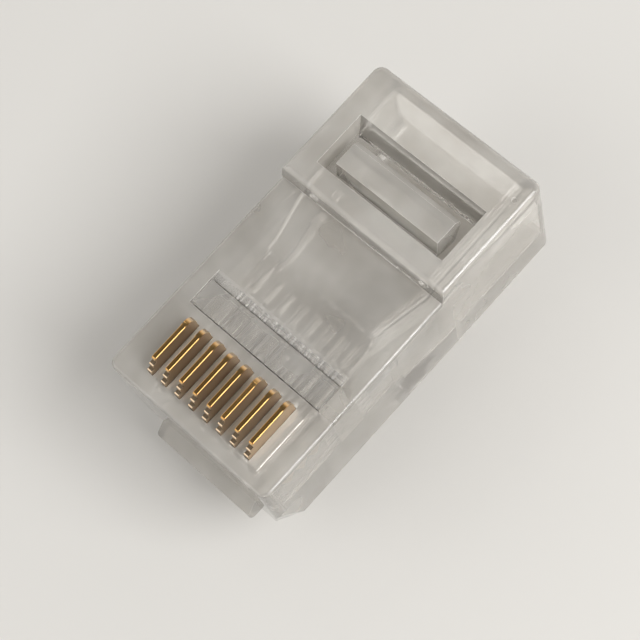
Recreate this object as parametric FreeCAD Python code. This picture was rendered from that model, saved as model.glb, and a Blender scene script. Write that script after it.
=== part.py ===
import FreeCAD
import Part
import math
import os

# Eight-position modular plug, uncrimped. Millimetres.
# X runs across the plug, with contact 1 on the +X side. Y runs from the nose (Y = 0) to the cable
# end. Z = 0 is the flat underside of the body: the contacts are on top and the latch hangs below.
# The moulding is written in its free state: contacts and clamp bars raised, latch sprung out.

# Body of the moulding
BODY_WIDTH = 11.68
BODY_LENGTH = 22.0
NOSE_HEIGHT = 6.70
REAR_HEIGHT = 7.65
STEP_TOP_Y = 14.10
STEP_FOOT_Y = 13.85
CORNER_R = 0.55
NOSE_EDGE_R = 0.22
REAR_EDGE_R = 0.34
LEAD_IN_WIDTH = 0.80
LEAD_IN_LENGTH = 1.45
LEAD_IN_HEIGHT = 3.20

# Chin under the nose, which carries the latch
CHIN_HALF_WIDTH = 3.60
CHIN_REACH = 0.78
CHIN_DROP = 1.30
CHIN_TOP = 0.60
CHIN_EDGE_R = 0.35

# Jacket cavity, open at the cable end, and the funnel in front of it
CAVITY_HALF_WIDTH = 4.75
CAVITY_FLOOR = 0.95
CAVITY_ROOF = 5.80
CAVITY_CORNER_R = 0.70
CAVITY_FRONT_Y = 13.70
MOUTH_FLARE = 0.45
THROAT_Y = 11.00
THROAT_HALF_WIDTH = 4.10
THROAT_FLOOR = 1.25
THROAT_ROOF = 5.35
THROAT_CORNER_R = 0.50
FRONT_WALL_Y = 10.40
FRONT_WALL_DRAFT = 0.15
ENTRY_Y = 9.70
ENTRY_HALF_WIDTH = 4.05
ENTRY_FLOOR = 2.00
ENTRY_ROOF = 4.20
ENTRY_CORNER_R = 0.30

# Eight conductor channels and contact slots
POSITIONS = 8
PITCH = 1.02
CHANNEL_R = 0.45
CHANNEL_Z = 2.60
CHANNEL_FRONT_Y = 0.80
COMB_FRONT_Y = 8.10
DIVIDER_TOP = 2.85
DIVIDER_EDGE_R = 0.07
SLOT_CLEARANCE = 0.03
SLOT_FLOOR = 1.90

# Blade contact, at its raised, uncrimped height
BLADE_THICKNESS = 0.30
BLADE_FRONT_Y = 1.10
BLADE_REAR_Y = 4.70
CROWN_Z = 7.90
CROWN_FRONT_Y = 1.66
CROWN_REAR_Y = 4.10
CROWN_FRONT_R = 0.14
CROWN_EDGE_R = 0.06
LOW_LEDGE_Z = 7.12
HIGH_LEDGE_Y = 1.38
HIGH_LEDGE_Z = 7.50
LEDGE_R = 0.11
SHOULDER_Z = 7.25
SHOULDER_BULGE = 0.17
BLADE_WAIST_Z = 5.20
TINE_TIP_Z = 3.85
TINE_ROOT_Z = 4.75
TINE_INSET = 0.30
TINES = 3

# Conductor clamp bar, in a pocket across all eight channels with a bevel behind it
CLAMP_POCKET_HALF_WIDTH = 4.75
CLAMP_POCKET_FRONT_Y = 5.34
CLAMP_POCKET_REAR_Y = 7.13
CLAMP_POCKET_FLOOR = 2.65
CLAMP_BEVEL_REAR_Y = 7.72
CLAMP_BEVEL_DROP = 0.20
CLAMP_BAR_HALF_WIDTH = 4.70
CLAMP_BAR_FRONT_Y = 5.42
CLAMP_BAR_REAR_Y = 7.05
CLAMP_BAR_TOP = 6.66
CLAMP_BAR_BOTTOM = 3.45
CLAMP_BAR_BEVEL = 0.12
SADDLE_R = 0.47
SADDLE_DEPTH = 0.25

# Window over the jacket cavity and the jacket clamp bar hinged at its front edge
WINDOW_HALF_WIDTH = 4.50
WINDOW_FRONT_Y = 15.45
WINDOW_REAR_Y = 19.00
WINDOW_REAR_SLOPE = 0.55
JACKET_BAR_HALF_WIDTH = 3.65
JACKET_BAR_FRONT_Y = 16.05
JACKET_BAR_LEAN = 0.22
JACKET_BAR_BEVEL = 0.30
JACKET_BAR_REAR_Y = 17.80
JACKET_BAR_TOP = 7.60
JACKET_BAR_BOTTOM = 5.85
JACKET_BAR_NOSE = 0.60
JACKET_HINGE_Z = 6.30
JACKET_BEAD_R = 0.24
JACKET_WEB_THICKNESS = 0.26
RUNNING_GAP = 0.03

# Latch: a wide root that locks behind the jack's stop, then a narrow thumb lever
LATCH_PIVOT_Y = 1.35
LATCH_PIVOT_Z = -0.85
LATCH_KNUCKLE_R = 0.45
LATCH_ANGLE = 13.0
LATCH_ROOT_HALF_WIDTH = 3.05
LATCH_LEVER_HALF_WIDTH = 1.625
LATCH_SHOULDER_Y = 8.36
LATCH_LEVER_LENGTH = 13.60
LATCH_SHOULDER_DEPTH = 0.55
LATCH_SHOULDER_RAMP = 4.20
LATCH_TAPER = 0.90
LATCH_TIP_R = 0.35
GRIP_RIBS = 3
GRIP_RIB_PITCH = 0.95
GRIP_RIB_R = 0.22

# Gate mark where the moulding was filled
GATE_MARK_X = 5.20
GATE_MARK_Y = 20.40
GATE_MARK_R = 0.15
GATE_MARK_DEPTH = 0.06

X_AXIS = FreeCAD.Vector(1, 0, 0)
Y_AXIS = FreeCAD.Vector(0, 1, 0)
OVERSHOOT = 0.5
TOLERANCE = 0.001
LEAD_IN_SPREAD = 3.0

# How far the middle of a quarter arc lies in from its corner, for a radius of one
QUARTER_INSET = 1 - math.sqrt(0.5)


def point_yz(spot):
    """A (y, z) pair as a point in the plane X = 0."""
    return FreeCAD.Vector(0, spot[0], spot[1])


def face_yz(start, *steps):
    """A closed face in the plane X = 0. A step (y, z) is straight; a step (through, end) is an arc."""
    edges = []
    here = start
    for step in steps + (start,):
        if isinstance(step[0], tuple):
            through, there = step
            edge = Part.Arc(point_yz(here), point_yz(through), point_yz(there))
        else:
            there = step
            edge = Part.LineSegment(point_yz(here), point_yz(there))
        edges.append(edge.toShape())
        here = there
    return Part.Face(Part.Wire(edges))


def across(face, half_width):
    """The face drawn out to both sides of the plane X = 0."""
    moved = face.copy()
    moved.translate(X_AXIS * -half_width)
    return moved.extrude(X_AXIS * 2 * half_width)


def rod_across(y, z, radius, half_width):
    """A round rod along X, centred on the plane X = 0."""
    return Part.makeCylinder(radius, 2 * half_width, FreeCAD.Vector(-half_width, y, z), X_AXIS)


def rounded_step(y, foot_z, top_z, radius):
    """Steps for face_yz that climb at Y = y and turn level with a round corner."""
    inset = radius * QUARTER_INSET
    return [(y, foot_z), (y, top_z - radius), ((y + inset, top_z - inset), (y + radius, top_z))]


def block(half_width, y_low, y_high, z_low, z_high):
    """A plain block centred on the plane X = 0."""
    corner = FreeCAD.Vector(-half_width, y_low, z_low)
    return Part.makeBox(2 * half_width, y_high - y_low, z_high - z_low, corner)


def rounded_section(y, half_width, z_low, z_high, radius):
    """A rectangle with round corners, as a wire in the plane Y = y."""
    edges = []
    middle_z = (z_low + z_high) / 2
    centre_x = half_width - radius
    centre_z = (z_high - z_low) / 2 - radius
    for quarter in range(4):
        turn = math.pi / 2 * quarter
        side_x = 1 if quarter in (0, 3) else -1
        side_z = 1 if quarter in (0, 1) else -1
        points = []
        for angle in (turn, turn + math.pi / 4, turn + math.pi / 2):
            x = side_x * centre_x + radius * math.cos(angle)
            z = side_z * centre_z + radius * math.sin(angle) + middle_z
            points.append(FreeCAD.Vector(x, y, z))
        edges.append(Part.Arc(*points).toShape())
    sides = []
    for quarter in range(4):
        leaves = edges[quarter].Vertexes[-1].Point
        joins = edges[(quarter + 1) % 4].Vertexes[0].Point
        sides.append(Part.LineSegment(leaves, joins).toShape())
    return Part.Wire([edge for pair in zip(edges, sides) for edge in pair])


def edges_where(shape, test):
    """The edges of a shape whose end points all pass the test."""
    return [edge for edge in shape.Edges if all(test(vertex.Point) for vertex in edge.Vertexes)]


def near(value, target):
    return abs(value - target) < TOLERANCE


def keeps_x(edge):
    """Whether an edge keeps one X from end to end."""
    return near(edge.Vertexes[0].Point.x, edge.Vertexes[-1].Point.x)


def rounded_half(solid, corner_y, top_z, edge_r, sharp=()):
    """Rounds the upright corners at one end, then the top edges, apart from those at a Y in sharp."""
    corners = filter(keeps_x, edges_where(solid, lambda p: near(p.y, corner_y)))
    solid = solid.makeFillet(CORNER_R, list(corners))
    rim = [edge for edge in edges_where(solid, lambda p: near(p.z, top_z))
           if not any(all(near(vertex.Point.y, y) for vertex in edge.Vertexes) for y in sharp)]
    return solid.makeFillet(edge_r, rim)


def body_shell():
    """The solid outside form: a low nose half and a taller rear half behind a sloping step."""
    half = BODY_WIDTH / 2
    nose = rounded_half(block(half, 0, STEP_TOP_Y, 0, NOSE_HEIGHT), 0, NOSE_HEIGHT, NOSE_EDGE_R,
                        sharp=(STEP_TOP_Y,))
    rear_face = face_yz((STEP_FOOT_Y, 0), (BODY_LENGTH, 0), (BODY_LENGTH, REAR_HEIGHT),
                        (STEP_TOP_Y, REAR_HEIGHT), (STEP_FOOT_Y, NOSE_HEIGHT))
    rear = rounded_half(across(rear_face, half), BODY_LENGTH, REAR_HEIGHT, REAR_EDGE_R)
    return nose.fuse(rear).removeSplitter()


def lead_in(side):
    """The wedge cut off a lower corner of the nose, so that the plug finds the jack."""
    edge_x = side * BODY_WIDTH / 2
    across_end = FreeCAD.Vector(edge_x - side * LEAD_IN_WIDTH, 0, 0)
    along_end = FreeCAD.Vector(edge_x, LEAD_IN_LENGTH, 0)
    up_end = FreeCAD.Vector(edge_x, 0, LEAD_IN_HEIGHT)
    plane = Part.Face(Part.makePolygon([across_end, along_end, up_end, across_end]))
    away = FreeCAD.Vector(side, -1, -1) * LEAD_IN_HEIGHT
    wider = plane.copy()
    wider.scale(LEAD_IN_SPREAD, plane.CenterOfMass)
    return wider.extrude(away)


def chin():
    """The block below the nose, with the round seat of the latch at its back."""
    low = -CHIN_DROP
    inset = CHIN_EDGE_R * QUARTER_INSET
    face = face_yz((0, CHIN_TOP), (-CHIN_REACH, CHIN_TOP - CHIN_REACH), (-CHIN_REACH, low + CHIN_EDGE_R),
                   ((-CHIN_REACH + inset, low + inset), (-CHIN_REACH + CHIN_EDGE_R, low)),
                   (LATCH_PIVOT_Y, low), (LATCH_PIVOT_Y, OVERSHOOT), (OVERSHOOT, OVERSHOOT))
    solid = across(face, CHIN_HALF_WIDTH)
    front = filter(keeps_x, edges_where(solid, lambda p: near(p.y, -CHIN_REACH)))
    solid = solid.makeFillet(CHIN_EDGE_R / 2, list(front))
    seat = rod_across(LATCH_PIVOT_Y, LATCH_PIVOT_Z, LATCH_KNUCKLE_R + RUNNING_GAP, BODY_WIDTH)
    return solid.cut(seat)


def jacket_cavity():
    """The hollow for the cable jacket: a flared mouth, a long cavity, a throat and the wires' entry."""
    rear = BODY_LENGTH
    flare = 2 * MOUTH_FLARE
    stages = [
        rounded_section(rear + MOUTH_FLARE, CAVITY_HALF_WIDTH + flare, CAVITY_FLOOR - flare,
                        CAVITY_ROOF + flare, CAVITY_CORNER_R + flare / 2),
        rounded_section(rear - MOUTH_FLARE, CAVITY_HALF_WIDTH, CAVITY_FLOOR, CAVITY_ROOF, CAVITY_CORNER_R),
        rounded_section(CAVITY_FRONT_Y, CAVITY_HALF_WIDTH, CAVITY_FLOOR, CAVITY_ROOF, CAVITY_CORNER_R),
        rounded_section(THROAT_Y, THROAT_HALF_WIDTH, THROAT_FLOOR, THROAT_ROOF, THROAT_CORNER_R),
        rounded_section(FRONT_WALL_Y, THROAT_HALF_WIDTH, THROAT_FLOOR, THROAT_ROOF, THROAT_CORNER_R),
        rounded_section(FRONT_WALL_Y - FRONT_WALL_DRAFT, ENTRY_HALF_WIDTH, ENTRY_FLOOR, ENTRY_ROOF,
                        ENTRY_CORNER_R),
        rounded_section(ENTRY_Y, ENTRY_HALF_WIDTH, ENTRY_FLOOR, ENTRY_ROOF, ENTRY_CORNER_R),
    ]
    return Part.makeLoft(stages, True, True)


def position_x(number):
    """Where contact and channel `number` lies: 1 on the +X side, 8 on the -X side."""
    return PITCH * ((POSITIONS + 1) / 2 - number)


def conductor_channels():
    """Eight round channels from the funnel forward to the nose wall."""
    length = ENTRY_Y - CHANNEL_FRONT_Y + OVERSHOOT / 2
    channels = []
    for number in range(1, POSITIONS + 1):
        start = FreeCAD.Vector(position_x(number), CHANNEL_FRONT_Y, CHANNEL_Z)
        channels.append(Part.makeCylinder(CHANNEL_R, length, start, Y_AXIS))
    return channels


def contact_slots():
    """Eight slots that hold the blades upright and open down into the channels."""
    slots = []
    for number in range(1, POSITIONS + 1):
        slot = block(BLADE_THICKNESS / 2 + SLOT_CLEARANCE, BLADE_FRONT_Y - SLOT_CLEARANCE,
                     BLADE_REAR_Y + SLOT_CLEARANCE, SLOT_FLOOR, NOSE_HEIGHT + OVERSHOOT)
        slot.translate(X_AXIS * position_x(number))
        slots.append(slot)
    return slots


def channel_comb():
    """The open space over the dividers, where the conductors first part."""
    half = position_x(1) + CHANNEL_R
    return block(half, COMB_FRONT_Y, ENTRY_Y + OVERSHOOT / 2, DIVIDER_TOP, ENTRY_ROOF)


def round_dividers(solid):
    """Rounds the upper edges of the dividers, which the conductors slide over."""
    tops = edges_where(solid, lambda p: near(p.z, DIVIDER_TOP) and abs(p.x) < position_x(1)
                       and COMB_FRONT_Y - TOLERANCE < p.y < ENTRY_Y + TOLERANCE)
    return solid.makeFillet(DIVIDER_EDGE_R, list(filter(keeps_x, tops)))


def window():
    """The opening over the jacket cavity, with a rear wall that slopes forward as it goes down."""
    low = CAVITY_ROOF - OVERSHOOT
    high = REAR_HEIGHT + OVERSHOOT
    slope = WINDOW_REAR_SLOPE / (REAR_HEIGHT - CAVITY_ROOF)
    face = face_yz((WINDOW_FRONT_Y, low), (WINDOW_REAR_Y - slope * (REAR_HEIGHT - low), low),
                   (WINDOW_REAR_Y + slope * OVERSHOOT, high), (WINDOW_FRONT_Y, high))
    opening = across(face, WINDOW_HALF_WIDTH)
    seat = rod_across(WINDOW_FRONT_Y, JACKET_HINGE_Z, JACKET_BEAD_R + RUNNING_GAP,
                      JACKET_BAR_HALF_WIDTH + RUNNING_GAP)
    return opening.fuse(seat)


def clamp_pocket():
    """The opening for the conductor clamp bar, down to the middle of the channels."""
    high = NOSE_HEIGHT + OVERSHOOT
    return across(face_yz((CLAMP_POCKET_FRONT_Y, CLAMP_POCKET_FLOOR),
                          (CLAMP_POCKET_REAR_Y, CLAMP_POCKET_FLOOR),
                          (CLAMP_POCKET_REAR_Y, NOSE_HEIGHT - CLAMP_BEVEL_DROP),
                          (CLAMP_BEVEL_REAR_Y, NOSE_HEIGHT), (CLAMP_BEVEL_REAR_Y, high),
                          (CLAMP_POCKET_FRONT_Y, high)), CLAMP_POCKET_HALF_WIDTH)


def gate_mark():
    """The small round dimple that the gate left in the top."""
    start = FreeCAD.Vector(GATE_MARK_X, GATE_MARK_Y, REAR_HEIGHT - GATE_MARK_DEPTH)
    return Part.makeCylinder(GATE_MARK_R, OVERSHOOT, start)


def housing():
    """The clear moulding without its moving parts."""
    solid = body_shell()
    for side in (-1, 1):
        solid = solid.cut(lead_in(side))
    solid = solid.fuse(chin())
    solid = solid.cut(jacket_cavity())
    solid = solid.cut(conductor_channels() + [channel_comb(), window(), clamp_pocket(), gate_mark()])
    return round_dividers(solid).cut(contact_slots())


def contact(number):
    """A blade with two rounded steps in front, a rounded rear shoulder and sharp tines below."""
    front = BLADE_FRONT_Y
    rear = BLADE_REAR_Y
    bulge_y = (CROWN_REAR_Y + rear) / 2 + SHOULDER_BULGE
    bulge_z = (CROWN_Z + SHOULDER_Z) / 2 + SHOULDER_BULGE
    steps = [
        *rounded_step(front, BLADE_WAIST_Z, LOW_LEDGE_Z, LEDGE_R),
        *rounded_step(HIGH_LEDGE_Y, LOW_LEDGE_Z, HIGH_LEDGE_Z, LEDGE_R),
        *rounded_step(CROWN_FRONT_Y, HIGH_LEDGE_Z, CROWN_Z, CROWN_FRONT_R),
        (CROWN_REAR_Y, CROWN_Z),
        ((bulge_y, bulge_z), (rear, SHOULDER_Z)),
        (rear, BLADE_WAIST_Z),
        (rear - TINE_INSET, BLADE_WAIST_Z - TINE_INSET),
    ]
    tine_width = (rear - front - 2 * TINE_INSET) / TINES
    for tine in range(TINES):
        tine_rear = rear - TINE_INSET - tine * tine_width
        steps.append((tine_rear, TINE_ROOT_Z))
        steps.append((tine_rear - tine_width / 2, TINE_TIP_Z))
    steps.append((front + TINE_INSET, TINE_ROOT_Z))
    steps.append((front + TINE_INSET, BLADE_WAIST_Z - TINE_INSET))
    solid = across(face_yz(*steps), BLADE_THICKNESS / 2)
    crown = filter(keeps_x, edges_where(solid, lambda p: near(p.z, CROWN_Z)))
    solid = solid.makeFillet(CROWN_EDGE_R, list(crown))
    solid.translate(X_AXIS * position_x(number))
    return solid


def conductor_clamp_bar():
    """The bar that is pushed down on all eight conductors, with a saddle over each of them."""
    front = CLAMP_BAR_FRONT_Y
    rear = CLAMP_BAR_REAR_Y
    low = CLAMP_BAR_BOTTOM
    face = face_yz((front, low + CLAMP_BAR_BEVEL), (front + CLAMP_BAR_BEVEL, low),
                   (rear - CLAMP_BAR_BEVEL, low), (rear, low + CLAMP_BAR_BEVEL),
                   (rear, CLAMP_BAR_TOP), (front, CLAMP_BAR_TOP))
    saddles = []
    for number in range(1, POSITIONS + 1):
        start = FreeCAD.Vector(position_x(number), front - OVERSHOOT, low + SADDLE_DEPTH - SADDLE_R)
        saddles.append(Part.makeCylinder(SADDLE_R, rear - front + 2 * OVERSHOOT, start, Y_AXIS))
    return across(face, CLAMP_BAR_HALF_WIDTH).cut(saddles)


def jacket_clamp_bar():
    """The wedge-shaped bar in the window, on a thin web that ends in a hinge bead."""
    front = JACKET_BAR_FRONT_Y
    rear = JACKET_BAR_REAR_Y
    web_low = JACKET_HINGE_Z - JACKET_WEB_THICKNESS / 2
    web_high = JACKET_HINGE_Z + JACKET_WEB_THICKNESS / 2
    foot = front - JACKET_BAR_LEAN
    wedge = face_yz((foot, web_low), (foot + JACKET_BAR_NOSE, JACKET_BAR_BOTTOM),
                    (rear - JACKET_BAR_NOSE, JACKET_BAR_BOTTOM), (rear, JACKET_BAR_TOP - JACKET_BAR_NOSE),
                    (rear, JACKET_BAR_TOP - JACKET_BAR_BEVEL), (rear - JACKET_BAR_BEVEL, JACKET_BAR_TOP),
                    (front, JACKET_BAR_TOP), (foot, web_high))
    web = face_yz((WINDOW_FRONT_Y, web_low), (front, web_low), (front, web_high),
                  (WINDOW_FRONT_Y, web_high))
    bead = rod_across(WINDOW_FRONT_Y, JACKET_HINGE_Z, JACKET_BEAD_R, JACKET_BAR_HALF_WIDTH)
    half = JACKET_BAR_HALF_WIDTH
    return across(wedge, half).fuse([across(web, half), bead]).removeSplitter()


def latch():
    """The sprung lever, drawn level with its pivot at the origin, then turned down and moved."""
    root_r = LATCH_KNUCKLE_R
    tip = LATCH_LEVER_LENGTH
    tip_low = -root_r * LATCH_TAPER
    lever = across(face_yz((0, -root_r), (tip - LATCH_TIP_R, tip_low),
                           ((tip, tip_low + LATCH_TIP_R), (tip - LATCH_TIP_R, tip_low + 2 * LATCH_TIP_R)),
                           (0, root_r)), LATCH_LEVER_HALF_WIDTH)
    shoulder_y = (LATCH_SHOULDER_Y - LATCH_PIVOT_Y) / math.cos(math.radians(LATCH_ANGLE))
    root = across(face_yz((0, -root_r), (shoulder_y - LATCH_SHOULDER_RAMP, -root_r),
                          (shoulder_y - OVERSHOOT, -root_r - LATCH_SHOULDER_DEPTH),
                          (shoulder_y, -root_r - LATCH_SHOULDER_DEPTH), (shoulder_y, root_r * LATCH_TAPER),
                          (0, root_r)), LATCH_ROOT_HALF_WIDTH)
    pieces = [root, rod_across(0, 0, root_r, LATCH_ROOT_HALF_WIDTH)]
    for rib in range(GRIP_RIBS):
        rib_y = tip - GRIP_RIB_PITCH * (rib + 1)
        pieces.append(rod_across(rib_y, tip_low, GRIP_RIB_R, LATCH_LEVER_HALF_WIDTH))
    solid = lever.fuse(pieces).removeSplitter()
    solid.rotate(FreeCAD.Vector(0, 0, 0), X_AXIS, -LATCH_ANGLE)
    solid.translate(FreeCAD.Vector(0, LATCH_PIVOT_Y, LATCH_PIVOT_Z))
    return solid


def main():
    os.makedirs("parts", exist_ok=True)
    pieces = {
        "housing": housing(),
        "latch": latch(),
        "jacket_clamp_bar": jacket_clamp_bar(),
        "conductor_clamp_bar": conductor_clamp_bar(),
    }
    for number in range(1, POSITIONS + 1):
        pieces["contact_%d" % number] = contact(number)
    for name, shape in pieces.items():
        solid, = shape.Solids
        print(name, solid.isValid(), round(solid.Volume, 3))
        solid.exportStep("parts/%s.step" % name)


main()
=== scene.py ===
import bpy
import math
from mathutils import Matrix, Vector


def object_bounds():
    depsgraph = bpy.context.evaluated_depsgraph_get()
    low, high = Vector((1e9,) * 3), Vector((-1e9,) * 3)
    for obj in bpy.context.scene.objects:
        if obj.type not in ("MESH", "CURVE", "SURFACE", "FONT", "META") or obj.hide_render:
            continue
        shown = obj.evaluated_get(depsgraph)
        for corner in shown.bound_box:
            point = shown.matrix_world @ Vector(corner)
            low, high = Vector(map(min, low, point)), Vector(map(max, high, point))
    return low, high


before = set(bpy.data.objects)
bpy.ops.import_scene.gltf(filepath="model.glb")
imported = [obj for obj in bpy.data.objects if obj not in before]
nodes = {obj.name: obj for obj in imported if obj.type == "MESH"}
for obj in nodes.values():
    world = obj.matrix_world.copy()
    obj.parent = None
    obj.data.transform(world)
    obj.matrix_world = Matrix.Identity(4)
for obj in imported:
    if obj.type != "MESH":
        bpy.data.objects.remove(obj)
cad_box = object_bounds()

MM = 0.001

# Places on the plug that the finishes follow. The step is where the body grows towards the cable end
HALF_WIDTH = cad_box[1].x
CROWN_TOP = cad_box[1].z
STEP_Y = 14.10 * MM
NOSE_HEIGHT = 6.70 * MM
CAVITY_ROOF = 5.80 * MM
CAVITY_FLOOR = 0.95 * MM
POCKET_FRONT_Y = 5.34 * MM

# Clear polycarbonate: the share of light that goes through, and what haze and the painted edge highlights
# take from it
WALL_CLEAR = 0.95
SKIN_CLEAR = 0.67
BAR_WALL_CLEAR = 0.74
BAR_SKIN_CLEAR = 0.70
REAR_HAZE = 0.07
FRONT_HAZE = 0.03
EDGE_PAINTED_HIGHLIGHT = 0.35
POLYCARBONATE_IOR = 1.585
SKIN_ROUGHNESS = 0.012

# Its patterns, at their real sizes: clouds from the melt's flow, sink waves over thick walls, rounded edges
CLOUD_SIZE = 3.4 * MM
SINK_SIZE = 2.4 * MM
SINK_DEPTH = 0.2 * MM
SINK_STRENGTH = 0.02
EDGE_RADIUS = 0.04 * MM
EDGE_SAMPLES = 8

# The painted shade patch low on the contact 1 flank: its middle, how far it fades, and its ragged outline
SHADE_PATCH_PLACE = Vector((HALF_WIDTH, 10.8 * MM, 1.75 * MM))
SHADE_PATCH_SOLID = 1.05 * MM
SHADE_PATCH_END = 1.60 * MM
SHADE_PATCH_RAG = 0.55 * MM
SHADE_PATCH_RAG_SIZE = 0.9 * MM
SHADE_PATCH_STRENGTH = 0.65

# Gold plate on the blades. The die lines are drawn coarser than real ones, which are too fine to show
CROWN_ROUGHNESS = 0.13
FLANK_ROUGHNESS = 0.38
DIE_LINE_WIDTH = 0.05 * MM
DIE_LINE_DEPTH = 0.02 * MM
DIE_LINE_STRENGTH = 0.08
DIE_LINE_GRAIN = 0.05

# The blades stand 1.02 mm apart, and each leans a little more or less than the next
LEAN_SPACING = 1.4 * MM
LEAN_DEPTH = 0.16 * MM

# Camera: a portrait-length lens from above the contact 1 side of the nose, turned on its own axis
CAMERA_AZIMUTH = 67.25
CAMERA_ELEVATION = 68.85
CAMERA_ROLL = -26.03
CAMERA_DISTANCE = 104.1 * MM
CAMERA_AIM = Vector((0.03, 9.67, 2.85)) * MM
CAMERA_LENS = 106.8
CAMERA_SENSOR = 36.0
CAMERA_NEAR = 5 * MM
CAMERA_FAR = 10

# The studio's light: its strength at the horizon, low down all round, and overhead, and the heights between
# which it changes, as sines of the angle above the horizon
SKY_HORIZON = 0.66
SKY_LOW = 1.05
SKY_HIGH = 0.16
WALL_FOOT = 0.05
WALL_HEAD = 0.40
CEILING_FOOT = 0.45
CEILING_HEAD = 0.93

FLOOR_SIZE = 1.6
FLOOR_CLEARANCE = 0.05 * MM


def srgb(code):
    """An sRGB hex colour as linear red, green, blue and alpha."""
    parts = [int(code[i:i + 2], 16) / 255 for i in (1, 3, 5)]
    linear = [c / 12.92 if c <= 0.04045 else ((c + 0.055) / 1.055) ** 2.4 for c in parts]
    return (*linear, 1.0)


def add_node(tree, kind, inputs=None, **settings):
    """Adds a node, sets its properties, and gives its inputs values or links."""
    made = tree.nodes.new(kind)
    for name, value in settings.items():
        setattr(made, name, value)
    for name, value in (inputs or {}).items():
        if isinstance(value, bpy.types.NodeSocket):
            tree.links.new(value, made.inputs[name])
        else:
            made.inputs[name].default_value = value
    return made


def new_material(name):
    """An empty node material, with its tree."""
    material = bpy.data.materials.new(name)
    material.use_nodes = True
    material.node_tree.nodes.clear()
    return material, material.node_tree


def outer_skin(tree, spot):
    """1 on the plug's outer faces, 0 on the walls inside it, with a short fade between."""
    beside = add_node(tree, "ShaderNodeMath", {0: spot.outputs["X"]}, operation="ABSOLUTE")
    flanks = add_node(tree, "ShaderNodeMapRange", {
        "Value": beside.outputs["Value"],
        "From Min": HALF_WIDTH - 0.24 * MM, "From Max": HALF_WIDTH - 0.09 * MM})
    # The top counts from just under the nose's top face, and behind the step from over the cavity's roof
    lowest_top = add_node(tree, "ShaderNodeMapRange", {
        "Value": spot.outputs["Y"], "From Min": STEP_Y - 0.1 * MM, "From Max": STEP_Y + 0.9 * MM,
        "To Min": NOSE_HEIGHT - 0.27 * MM, "To Max": CAVITY_ROOF + 0.10 * MM})
    above = add_node(tree, "ShaderNodeMath", {0: spot.outputs["Z"], 1: lowest_top.outputs["Result"]},
                     operation="SUBTRACT")
    top = add_node(tree, "ShaderNodeMapRange", {
        "Value": above.outputs["Value"], "From Min": 0.0, "From Max": 0.25 * MM})
    under = add_node(tree, "ShaderNodeMapRange", {
        "Value": spot.outputs["Z"],
        "From Min": CAVITY_FLOOR + 0.10 * MM, "From Max": CAVITY_FLOOR + 0.05 * MM})
    nose = add_node(tree, "ShaderNodeMapRange", {
        "Value": spot.outputs["Y"], "From Min": 0.15 * MM, "From Max": 0.05 * MM})
    outside = flanks.outputs["Result"]
    for faces in (top, under, nose):
        joined = add_node(tree, "ShaderNodeMath", {0: outside, 1: faces.outputs["Result"]},
                          operation="MAXIMUM")
        outside = joined.outputs["Value"]
    return outside


def flow_clouds(tree, place):
    """Milky patches a few millimetres across, left where the melt flowed and cooled: 0 clear, 1 milky."""
    # Noise stays mostly between 0.3 and 0.7, so its middle range is spread out
    patches = add_node(tree, "ShaderNodeTexNoise", {"Vector": place, "Scale": 1 / CLOUD_SIZE, "Detail": 2.0})
    spread = add_node(tree, "ShaderNodeMapRange", {
        "Value": patches.outputs["Fac"], "From Min": 0.35, "From Max": 0.68})
    return spread.outputs["Result"]


def skin_haze(tree, spot, clouds):
    """What the skin loses in clearness: most at the cable end, a little over the blades, more in clouds."""
    rear = add_node(tree, "ShaderNodeMapRange", {
        "Value": spot.outputs["Y"], "From Min": STEP_Y - 0.2 * MM, "From Max": STEP_Y + 0.3 * MM,
        "To Max": REAR_HAZE})
    front = add_node(tree, "ShaderNodeMapRange", {
        "Value": spot.outputs["Y"],
        "From Min": POCKET_FRONT_Y + 0.06 * MM, "From Max": POCKET_FRONT_Y - 0.34 * MM,
        "To Max": FRONT_HAZE})
    ends = add_node(tree, "ShaderNodeMath", {0: rear.outputs["Result"], 1: front.outputs["Result"]},
                    operation="MAXIMUM")
    patches = add_node(tree, "ShaderNodeMapRange", {"Value": clouds, "To Min": -0.02, "To Max": 0.03})
    total = add_node(tree, "ShaderNodeMath", {0: ends.outputs["Value"], 1: patches.outputs["Result"]},
                     operation="ADD")
    return total.outputs["Value"]


def round_edges(tree):
    """Normals that round each edge, and a painted highlight there: clearness is taken away near an edge to
    draw a pale line.
    """
    rounded = add_node(tree, "ShaderNodeBevel", {"Radius": EDGE_RADIUS}, samples=EDGE_SAMPLES)
    # The rounded normal leaves the face's own only near an edge: the painted highlight grows as they part by
    # 10 to 23 degrees
    face = add_node(tree, "ShaderNodeNewGeometry")
    alike = add_node(tree, "ShaderNodeVectorMath", {
        0: rounded.outputs["Normal"], 1: face.outputs["True Normal"]}, operation="DOT_PRODUCT")
    painted_highlight = add_node(tree, "ShaderNodeMapRange", {
        "Value": alike.outputs["Value"], "From Min": 0.985, "From Max": 0.92, "To Max": EDGE_PAINTED_HIGHLIGHT})
    return rounded.outputs["Normal"], painted_highlight.outputs["Result"]


def painted_flank_shade(tree, place):
    """A patch of painted shade with a ragged outline, darkening the flank's colour: 0 leaves it as it is."""
    away = add_node(tree, "ShaderNodeVectorMath", {0: place, 1: SHADE_PATCH_PLACE}, operation="DISTANCE")
    rag = add_node(tree, "ShaderNodeTexNoise", {
        "Vector": place, "Scale": 1 / SHADE_PATCH_RAG_SIZE, "Detail": 2.0})
    shift = add_node(tree, "ShaderNodeMapRange", {
        "Value": rag.outputs["Fac"], "From Min": 0.3, "From Max": 0.7,
        "To Min": -SHADE_PATCH_RAG, "To Max": SHADE_PATCH_RAG})
    ragged = add_node(tree, "ShaderNodeMath", {0: away.outputs["Value"], 1: shift.outputs["Result"]},
                      operation="ADD")
    painted_shade = add_node(tree, "ShaderNodeMapRange", {
        "Value": ragged.outputs["Value"], "From Min": SHADE_PATCH_END, "From Max": SHADE_PATCH_SOLID,
        "To Max": SHADE_PATCH_STRENGTH})
    return painted_shade.outputs["Result"]


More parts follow.
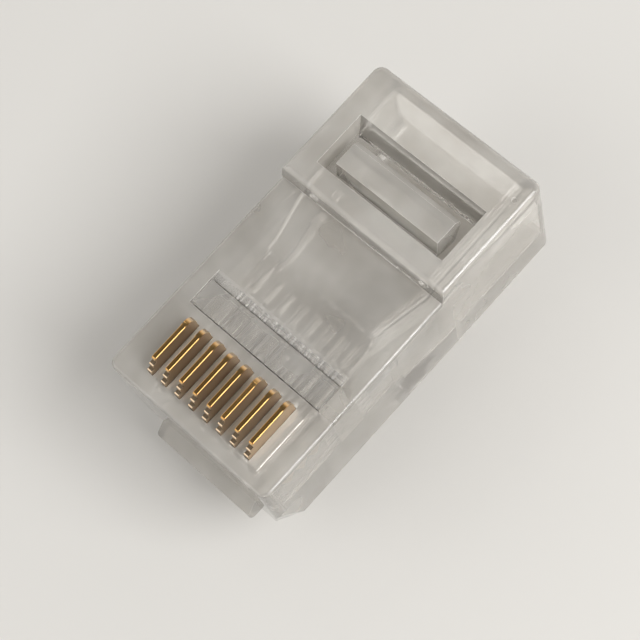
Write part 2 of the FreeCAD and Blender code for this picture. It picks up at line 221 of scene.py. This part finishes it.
def moulded_polycarbonate(name, wall_clear, skin_clear):
    """Clear polycarbonate, injection moulded and tumbled loose in a bag.

    The eye sees a faintly milky outside with cloudy patches and slow waves where thick walls sank, through
    it the glassy walls within, and fine pale lines along the rounded edges, which are painted highlights.
    """
    material, tree = new_material(name)
    place = add_node(tree, "ShaderNodeTexCoord").outputs["Object"]
    spot = add_node(tree, "ShaderNodeSeparateXYZ", {"Vector": place})
    outside = outer_skin(tree, spot)
    clouds = flow_clouds(tree, place)
    edge_normal, edge_painted_highlight = round_edges(tree)
    milky = add_node(tree, "ShaderNodeMix", {
        "Factor": clouds, "A": srgb("#d6d2cb"), "B": srgb("#e4e1db")}, data_type="RGBA")
    clean = add_node(tree, "ShaderNodeMix", {
        "Factor": outside, "A": srgb("#f3f1ee"), "B": milky.outputs["Result"]}, data_type="RGBA")
    # Painted shade: the colour is darkened in a ragged patch low on the contact 1 flank
    tint = add_node(tree, "ShaderNodeMix", {
        "Factor": painted_flank_shade(tree, place), "A": clean.outputs["Result"], "B": srgb("#9c958f")},
        data_type="RGBA")
    waves = add_node(tree, "ShaderNodeTexNoise", {"Vector": place, "Scale": 1 / SINK_SIZE, "Detail": 1.0})
    surface = add_node(tree, "ShaderNodeBump", {
        "Height": waves.outputs["Fac"], "Strength": SINK_STRENGTH, "Distance": SINK_DEPTH,
        "Normal": edge_normal})
    hazy = add_node(tree, "ShaderNodeMath", {0: skin_clear, 1: skin_haze(tree, spot, clouds)},
                    operation="SUBTRACT")
    clear = add_node(tree, "ShaderNodeMapRange", {
        "Value": outside, "To Min": wall_clear, "To Max": hazy.outputs["Value"]})
    # Painted highlight: near each edge the plastic loses clearness, so the edge shows as a pale line
    clear_less_painted_highlight = add_node(tree, "ShaderNodeMath", {0: clear.outputs["Result"], 1: edge_painted_highlight},
                       operation="SUBTRACT", use_clamp=True)
    roughness = add_node(tree, "ShaderNodeMapRange", {"Value": outside, "To Max": SKIN_ROUGHNESS})
    shader = add_node(tree, "ShaderNodeBsdfPrincipled", {
        "Base Color": tint.outputs["Result"],
        "Roughness": roughness.outputs["Result"],
        "IOR": POLYCARBONATE_IOR,
        "Transmission Weight": clear_less_painted_highlight.outputs["Value"],
        "Normal": surface.outputs["Normal"],
    })
    add_node(tree, "ShaderNodeOutputMaterial", {"Surface": shader.outputs["BSDF"]})
    return material


def gold_plated_bronze():
    """Gold plate over stamped phosphor bronze.

    The crowns are deep yellow and glossy. The flanks are painted paler and greyer, a painted reflection of
    the milky plastic beside them; they are satin from the die, with fine lines along them. Each blade catches
    the light at its own angle, as it was pressed in.
    """
    material, tree = new_material("gold_plated_bronze")
    place = add_node(tree, "ShaderNodeTexCoord").outputs["Object"]
    spot = add_node(tree, "ShaderNodeSeparateXYZ", {"Vector": place})
    # Painted reflection: the flanks get a paler, greyer colour than the crowns, for the milky plastic they
    # reflect
    crown = add_node(tree, "ShaderNodeMapRange", {
        "Value": spot.outputs["Z"], "From Min": CROWN_TOP - 0.147 * MM, "From Max": CROWN_TOP - 0.027 * MM})
    plate_with_painted_reflection = add_node(tree, "ShaderNodeMix", {
        "Factor": crown.outputs["Result"], "A": srgb("#dcc4a6"), "B": srgb("#d0a468")}, data_type="RGBA")

    # Die lines are drawn out along the blade
    along = add_node(tree, "ShaderNodeMapping", {"Vector": place, "Scale": (1.0, 0.08, 1.0)})
    lines = add_node(tree, "ShaderNodeTexNoise", {
        "Vector": along.outputs["Vector"], "Scale": 1 / DIE_LINE_WIDTH, "Detail": 3.0})
    # The lean hardly changes along a blade or down it, only across the row
    across = add_node(tree, "ShaderNodeMapping", {"Vector": place, "Scale": (1.0, 0.02, 0.02)})
    tilt = add_node(tree, "ShaderNodeTexNoise", {
        "Vector": across.outputs["Vector"], "Scale": 1 / LEAN_SPACING, "Detail": 0.0})
    lean = add_node(tree, "ShaderNodeBump", {
        "Height": tilt.outputs["Fac"], "Strength": 1.0, "Distance": LEAN_DEPTH})
    surface = add_node(tree, "ShaderNodeBump", {
        "Height": lines.outputs["Fac"], "Strength": DIE_LINE_STRENGTH, "Distance": DIE_LINE_DEPTH,
        "Normal": lean.outputs["Normal"]})

    # The flanks are the faces that point across the row, and they are satin
    face = add_node(tree, "ShaderNodeNewGeometry")
    facing = add_node(tree, "ShaderNodeSeparateXYZ", {"Vector": face.outputs["True Normal"]})
    sideways = add_node(tree, "ShaderNodeMath", {0: facing.outputs["X"]}, operation="ABSOLUTE")
    satin = add_node(tree, "ShaderNodeMapRange", {
        "Value": sideways.outputs["Value"], "From Min": 0.80, "From Max": 0.95,
        "To Min": CROWN_ROUGHNESS, "To Max": FLANK_ROUGHNESS})
    grain = add_node(tree, "ShaderNodeMapRange", {
        "Value": lines.outputs["Fac"], "From Min": 0.3, "From Max": 0.7,
        "To Min": -DIE_LINE_GRAIN, "To Max": DIE_LINE_GRAIN})
    roughness = add_node(tree, "ShaderNodeMath", {0: satin.outputs["Result"], 1: grain.outputs["Result"]},
                         operation="ADD")
    shader = add_node(tree, "ShaderNodeBsdfPrincipled", {
        "Base Color": plate_with_painted_reflection.outputs["Result"],
        "Metallic": 1.0,
        "Roughness": roughness.outputs["Value"],
        "Normal": surface.outputs["Normal"],
    })
    add_node(tree, "ShaderNodeOutputMaterial", {"Surface": shader.outputs["BSDF"]})
    return material


def studio_paper():
    """Matt white studio paper: it has no gloss, and keeps the plug's soft shadow."""
    material, tree = new_material("studio_paper")
    shader = add_node(tree, "ShaderNodeBsdfPrincipled", {
        "Base Color": srgb("#d8d6d2"),
        "Roughness": 0.9,
        "Specular IOR Level": 0.1,
    })
    add_node(tree, "ShaderNodeOutputMaterial", {"Surface": shader.outputs["BSDF"]})
    return material


def dress(node_name, material):
    """Gives a node's slots a material. Its shape stays as it is."""
    for slot in nodes[node_name].material_slots:
        slot.material = material


def dress_plug():
    """The blades in gold, the two clamp bars in cloudier plastic than the housing and the latch."""
    body_plastic = moulded_polycarbonate("clear_polycarbonate", WALL_CLEAR, SKIN_CLEAR)
    bar_plastic = moulded_polycarbonate("clear_polycarbonate_bars", BAR_WALL_CLEAR, BAR_SKIN_CLEAR)
    gold = gold_plated_bronze()
    for name in nodes:
        if name.startswith("contact_"):
            dress(name, gold)
        elif name.endswith("_bar"):
            dress(name, bar_plastic)
        else:
            dress(name, body_plastic)


def lay_floor():
    """A sheet of paper just under the plug's lowest point."""
    low = cad_box[0]
    bpy.ops.object.select_all(action="DESELECT")
    bpy.ops.mesh.primitive_plane_add(size=FLOOR_SIZE, location=(0, 0, low.z - FLOOR_CLEARANCE))
    floor = bpy.context.object
    floor.name = "floor"
    floor.data.materials.append(studio_paper())


def direction(azimuth, elevation):
    """The unit vector from the plug towards an azimuth and elevation in degrees."""
    turn = math.radians(azimuth)
    rise = math.radians(elevation)
    return Vector((math.sin(turn) * math.cos(rise), -math.cos(turn) * math.cos(rise), math.sin(rise)))


def soft_lamp(name, azimuth, elevation, distance, size, watts):
    """A square soft box aimed at the plug. Angles are as for the camera."""
    lamp = bpy.data.lights.new(name, "AREA")
    lamp.shape = "SQUARE"
    lamp.size = size
    lamp.energy = watts
    holder = bpy.data.objects.new(name, lamp)
    bpy.context.scene.collection.objects.link(holder)
    away = direction(azimuth, elevation)
    holder.location = CAMERA_AIM + away * distance
    holder.rotation_mode = "QUATERNION"
    holder.rotation_quaternion = away.to_track_quat("Z", "Y")


def light_sky():
    """A pale room that is brightest a little above the horizon, and dims to a dark ceiling."""
    world = bpy.data.worlds.new("studio")
    world.use_nodes = True
    bpy.context.scene.world = world
    tree = world.node_tree
    tree.nodes.clear()
    place = add_node(tree, "ShaderNodeTexCoord")
    height = add_node(tree, "ShaderNodeSeparateXYZ", {"Vector": place.outputs["Generated"]})
    wall = add_node(tree, "ShaderNodeMapRange", {
        "Value": height.outputs["Z"], "From Min": WALL_FOOT, "From Max": WALL_HEAD,
        "To Min": SKY_HORIZON, "To Max": SKY_LOW})
    ceiling = add_node(tree, "ShaderNodeMapRange", {
        "Value": height.outputs["Z"], "From Min": CEILING_FOOT, "From Max": CEILING_HEAD,
        "To Min": SKY_LOW, "To Max": SKY_HIGH}, interpolation_type="SMOOTHSTEP")
    level = add_node(tree, "ShaderNodeMath", {0: ceiling.outputs["Result"], 1: wall.outputs["Result"]},
                     operation="MINIMUM")
    glow = add_node(tree, "ShaderNodeBackground", {
        "Color": srgb("#fffdfa"), "Strength": level.outputs["Value"]})
    add_node(tree, "ShaderNodeOutputWorld", {"Surface": glow.outputs["Background"]})


def light_studio():
    """The room, a key light over the contact 1 flank, a broad fill before the nose, and a faint card that
    the crowns catch from the contact 8 side.
    """
    light_sky()
    soft_lamp("key_softbox", azimuth=108, elevation=46, distance=0.30, size=0.16, watts=0.66)
    soft_lamp("fill_softbox", azimuth=330, elevation=45, distance=0.50, size=0.35, watts=0.35)
    soft_lamp("crown_card", azimuth=247, elevation=58, distance=0.30, size=0.04, watts=0.01)


def set_camera():
    """Stands the camera back from its aim, and rolls it on its own axis."""
    camera = bpy.data.cameras.new("camera")
    camera.lens = CAMERA_LENS
    camera.sensor_width = CAMERA_SENSOR
    camera.clip_start = CAMERA_NEAR
    camera.clip_end = CAMERA_FAR
    holder = bpy.data.objects.new("camera", camera)
    bpy.context.scene.collection.objects.link(holder)
    back = direction(CAMERA_AZIMUTH, CAMERA_ELEVATION)
    level = back.to_track_quat("Z", "Y")
    spin = Matrix.Rotation(math.radians(CAMERA_ROLL), 3, "Z").to_quaternion()
    holder.rotation_mode = "QUATERNION"
    holder.location = CAMERA_AIM + back * CAMERA_DISTANCE
    holder.rotation_quaternion = level @ spin
    bpy.context.scene.camera = holder


dress_plug()
lay_floor()
light_studio()
set_camera()
bpy.context.scene.view_settings.view_transform = "Standard"
